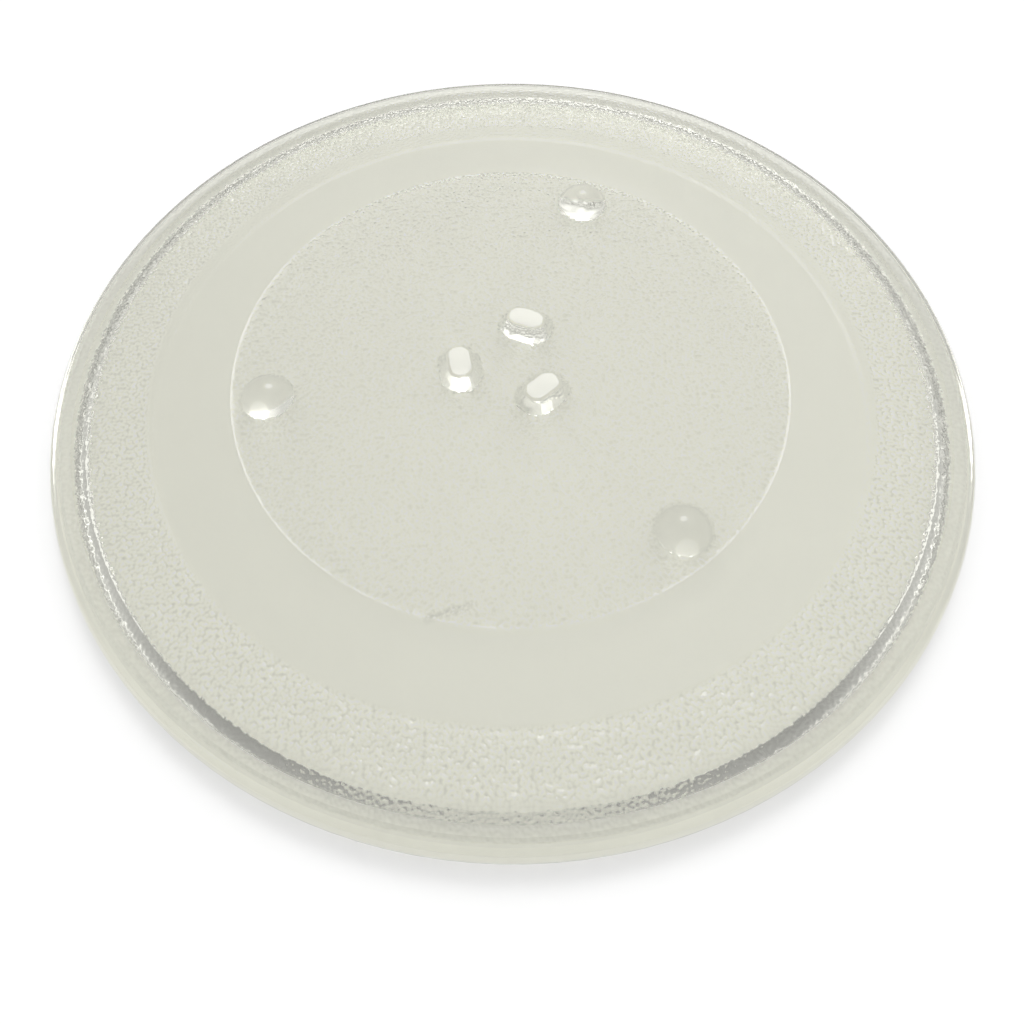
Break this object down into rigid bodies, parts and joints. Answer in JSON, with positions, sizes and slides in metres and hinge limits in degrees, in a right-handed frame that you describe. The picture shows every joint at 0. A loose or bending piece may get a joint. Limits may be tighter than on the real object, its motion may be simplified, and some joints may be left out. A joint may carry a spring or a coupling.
{
  "type": "microwave turntable plate",
  "caption": "Round pressed-glass turntable plate lying underside up: turned rim, smooth roller track, drive lugs round the middle and domed feet.",
  "frame": {"origin": "on the plate's axis, at the edge of the rim that it lies on", "axes": "+Z along the plate's axis out of the underside, with the lugs and feet on top; +Y away from the viewer of the picture, +X to their right"},
  "size_m": [0.285, 0.285, 0.0163],
  "materials": {
    "glass": "clear pressed soda-lime glass, smooth roller track, stippled underside"
  },
  "bodies": {
    "root": {"turntable_plate": "glass"}
  },
  "joints": []
}
